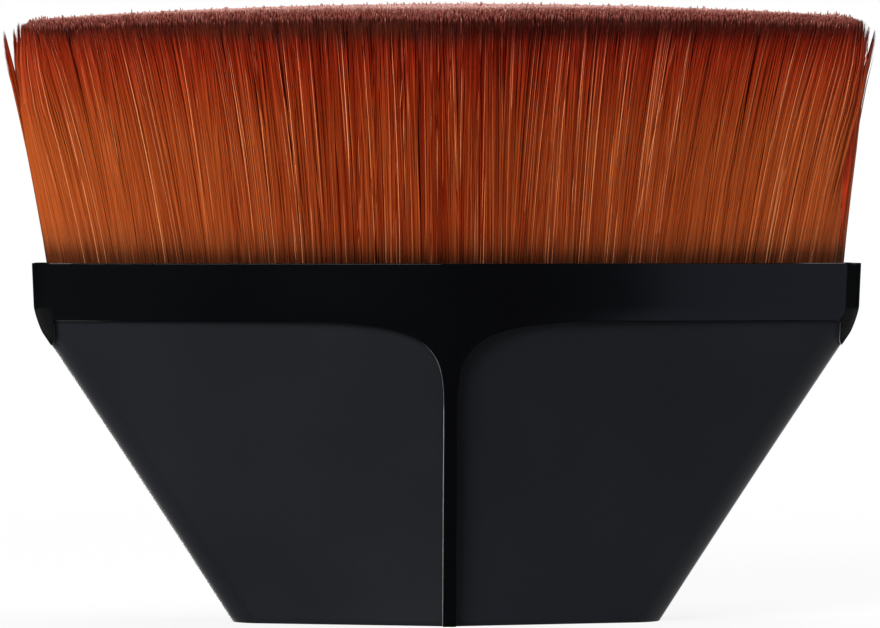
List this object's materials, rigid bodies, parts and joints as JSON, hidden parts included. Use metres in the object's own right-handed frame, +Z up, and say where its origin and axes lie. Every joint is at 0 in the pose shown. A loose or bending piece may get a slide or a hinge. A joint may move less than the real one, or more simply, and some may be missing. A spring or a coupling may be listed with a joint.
{
  "type": "foundation brush",
  "caption": "Wide flat-topped foundation brush: dense flared fibre head in a glossy six-sided tapering handle with scooped finger panels.",
  "frame": {"origin": "middle of the base face that the brush stands on", "axes": "+Z up through the fibre head, +X along the long side, -Y out of the front ridge"},
  "size_m": [0.058, 0.026, 0.0418],
  "materials": {
    "handle": "polished black ABS moulding",
    "plate": "matt black ABS moulding",
    "glue": "clear cured adhesive",
    "resin": "amber cured resin",
    "fibre": "dyed synthetic filament, dark red brown at the tips"
  },
  "bodies": {
    "root": {"handle_shell": "handle", "root_plate": "plate", "plate_glue_bead": "glue", "resin_bed": "resin", "bristle_head": "fibre"}
  },
  "joints": []
}
